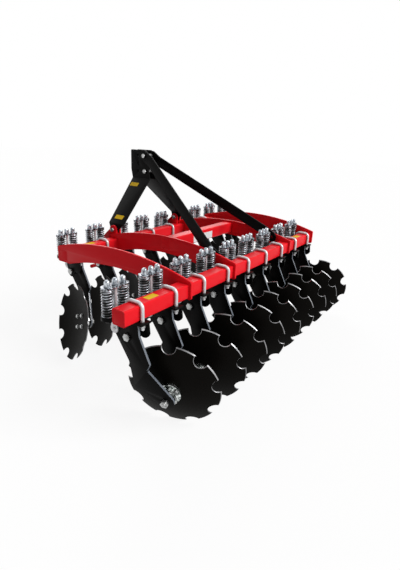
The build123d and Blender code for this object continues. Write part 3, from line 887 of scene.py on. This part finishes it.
for joint in frame["record"]["behaviour"]["joints"]:
    placeDisc(joint)
removed(discMaster, hubMaster)
print("discs placed")

# blank labels on the beams, the left mast plate and the cross tube
label = {
    "beam": (0.075, 0.04, 0.0012),
    "mast": (0.036, 0.08, 0.0012),
    "tube": (0.24, 0.0012, 0.052),
    "bevel": 0.0004,
    "fromBeamEnd": 0.218,
    "rearRight": 0.64,
    "frontLeft": -0.637,
    "tubeX": -0.011,
    "tubeHeight": 0.073,
    "tubeGap": 0.0003,
}
# where the left mast plate's slope begins and ends, from the mast's base, and how far a label stands off it
mastFold = Vector((-0.036, 0, 0.446))
mastFoot = Vector((-0.3685, 0, 0.14))
mastOut = 0.0055


def makeLabel(name, middle, size, finish, slope=0.0):
    deselect()
    bpy.ops.mesh.primitive_cube_add(size=1, location=middle)
    piece = named(name)
    piece.scale = size
    piece.rotation_euler.y = slope
    settle(piece)
    modified(piece, "BEVEL", width=label["bevel"], segments=1)
    coated(piece, finish)
    fitted(piece)


def makeLabels():
    for name, x, beam in (
        ("labelRearLeft", lowOf("rear_beam").x + label["fromBeamEnd"], rearBeam),
        ("labelRearRight", label["rearRight"], rearBeam),
        ("labelFrontLeft", label["frontLeft"], frontBeam),
        ("labelFrontRight", highOf("front_beam").x - label["fromBeamEnd"], frontBeam),
    ):
        makeLabel(name, (x, beam.y, beam.z + tubeSide / 2), label["beam"], labelYellow)
    run = (mastFoot - mastFold).normalized()
    face = Vector((0, 1, 0)).cross(run)
    face *= -1 if face.x > 0 else 1
    slope = math.atan2(-face.x, face.z)
    # name, how far forward, how far down the slope
    for name, y, along in (("labelMastHigh", 0.088, 0.07), ("labelMastLow", 0.018, 0.394)):
        middle = mastBase + mastFold + Vector((0, y, 0)) + run * along + face * mastOut
        makeLabel(name, middle, label["mast"], labelYellow, -slope)
    middle = (label["tubeX"], lowOf("cross_tube").y - label["tubeGap"], rearBeam.z + label["tubeHeight"])
    makeLabel("labelCrossTube", middle, label["tube"], labelWhite)


makeLabels()

# floor, light and camera
studio = {"floor": 60.0, "grey": 0.6, "plain": 0.88, "worldStrength": 0.26}


def seenRays(tree):
    # 1 where the background itself shows, straight on or in metal, and 0 where it lights the object
    path = tree.nodes.new("ShaderNodeLightPath")
    total = None
    for ray in ("Is Camera Ray", "Is Glossy Ray", "Is Transmission Ray"):
        if total is None:
            total = path.outputs[ray]
            continue
        add = tree.nodes.new("ShaderNodeMath")
        add.operation = "MAXIMUM"
        tree.links.new(total, add.inputs[0])
        tree.links.new(path.outputs[ray], add.inputs[1])
        total = add.outputs[0]
    return total


def makeFloor():
    deselect()
    bpy.ops.mesh.primitive_plane_add(size=studio["floor"], location=(0, 0, 0))
    floor = named("studioFloor")
    finish = Finish("studioFloor")
    seen = Wire(finish, seenRays(finish.tree))
    colour = finish.mix(seen, [studio["grey"]] * 3, (1, 1, 1))
    coated(floor, finish.wear(Base_Color=colour, Roughness=1.0, Specular_IOR_Level=0.0))
    lit = Wire(finish, finish.shader.outputs[0])
    white = finish.node("ShaderNodeEmission", {}, {"Color": (1, 1, 1, 1), "Strength": 1.0})
    both = finish.node("ShaderNodeMixShader", {}, {0: seen * studio["plain"], 1: lit, 2: white})
    finish.feed(finish.tree.nodes["Material Output"].inputs["Surface"], both)


def whiteBackground(tree, strength):
    background = tree.nodes.new("ShaderNodeBackground")
    background.inputs["Color"].default_value = (1, 1, 1, 1)
    background.inputs["Strength"].default_value = strength
    return background


def makeWorld():
    world = bpy.data.worlds.new("studioWorld")
    bpy.context.scene.world = world
    world.use_nodes = True
    tree = world.node_tree
    tree.nodes.clear()
    plain = whiteBackground(tree, 1)
    soft = whiteBackground(tree, studio["worldStrength"])
    choose = tree.nodes.new("ShaderNodeMixShader")
    out = tree.nodes.new("ShaderNodeOutputWorld")
    tree.links.new(seenRays(tree), choose.inputs[0])
    tree.links.new(soft.outputs[0], choose.inputs[1])
    tree.links.new(plain.outputs[0], choose.inputs[2])
    tree.links.new(choose.outputs[0], out.inputs[0])


makeFloor()
makeWorld()
lamps = [
    # name, where it stands, how wide it looks, strength
    ("keyLamp", (1.8, -4.6, 3.8), 35, 2.9),
    ("backLamp", (3.0, 3.4, 2.4), 40, 0.9),
]
for name, place, width, strength in lamps:
    data = bpy.data.lights.new(name, "SUN")
    data.angle = math.radians(width)
    data.energy = strength
    lamp = bpy.data.objects.new(name, data)
    bpy.context.scene.collection.objects.link(lamp)
    lamp.location = place
    lamp.rotation_euler = (-Vector(place)).to_track_quat("-Z", "Y").to_euler()

camera = {
    "place": (-1.203, -1.2695, 0.7876),  # from the left end of the rear beam's axis
    "azimuth": -55.35,
    "elevation": 19.74,
    "roll": 2.29,
    "lens": 26.446105,
    "sensor": 36,
    "clipEnd": 200,
}


def makeCamera():
    azimuth, elevation, roll = (math.radians(camera[key]) for key in ("azimuth", "elevation", "roll"))
    back = Vector(
        (
            math.sin(azimuth) * math.cos(elevation),
            -math.cos(azimuth) * math.cos(elevation),
            math.sin(elevation),
        )
    )
    right = Vector((0, 0, 1)).cross(back).normalized()
    up = back.cross(right)
    right, up = right * math.cos(roll) + up * math.sin(roll), up * math.cos(roll) - right * math.sin(roll)
    data = bpy.data.cameras.new("viewCamera")
    data.lens = camera["lens"]
    data.sensor_width = camera["sensor"]
    data.clip_end = camera["clipEnd"]
    eye = bpy.data.objects.new("viewCamera", data)
    bpy.context.scene.collection.objects.link(eye)
    beamEnd = Vector((lowOf("rear_beam").x, rearBeam.y, rearBeam.z))
    eye.matrix_world = Matrix.Translation(beamEnd + Vector(camera["place"])) @ Matrix(
        (right, up, back)
    ).transposed().to_4x4()
    bpy.context.scene.camera = eye


makeCamera()
bpy.context.scene.view_settings.view_transform = "Standard"
